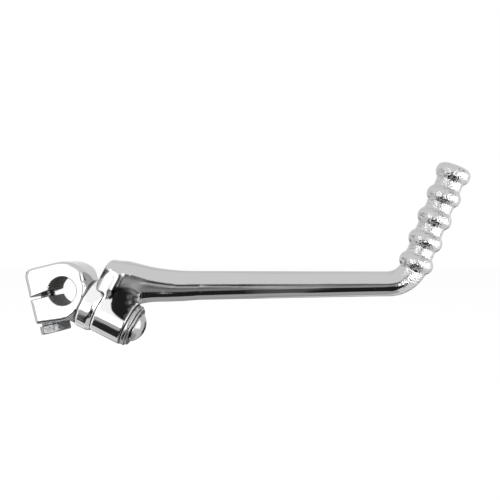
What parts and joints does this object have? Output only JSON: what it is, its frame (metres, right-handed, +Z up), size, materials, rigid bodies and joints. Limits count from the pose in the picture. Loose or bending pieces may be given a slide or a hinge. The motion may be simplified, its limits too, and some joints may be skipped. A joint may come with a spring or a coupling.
{
  "type": "folding kick start lever",
  "caption": "Chrome folding kick start lever: splined pinch clamp, swivelling tapered arm and a ribbed foot pedal.",
  "frame": {"origin": "centre of the splined bore, at the middle of the clamp's thickness", "axes": "+Y along the kick shaft towards the engine, +X along the folded arm towards the pedal, +Z up"},
  "size_m": [0.2313, 0.0268, 0.096],
  "materials": {
    "chrome_forging": "bright chrome plate on forged steel",
    "chrome_fitting": "chrome plate on turned steel",
    "zinc_steel": "dull zinc plate",
    "spring_steel": "oiled hardened steel"
  },
  "bodies": {
    "knuckle": {"knuckle": "chrome_forging", "pinch_bolt": "zinc_steel", "pinch_washer": "zinc_steel", "plain_washer": "chrome_fitting", "wave_washer": "chrome_fitting", "pivot_bolt": "chrome_fitting"},
    "arm": {"arm": "chrome_forging", "detent_ball": "spring_steel", "detent_spring": "spring_steel"}
  },
  "joints": [
    {"name": "arm_fold", "type": "hinge", "parent": "knuckle", "child": "arm", "pos_m": [0.0251, 0, -0.01408], "axis": [0.8949, 0, -0.4462], "range_deg": [0, 90]}
  ]
}
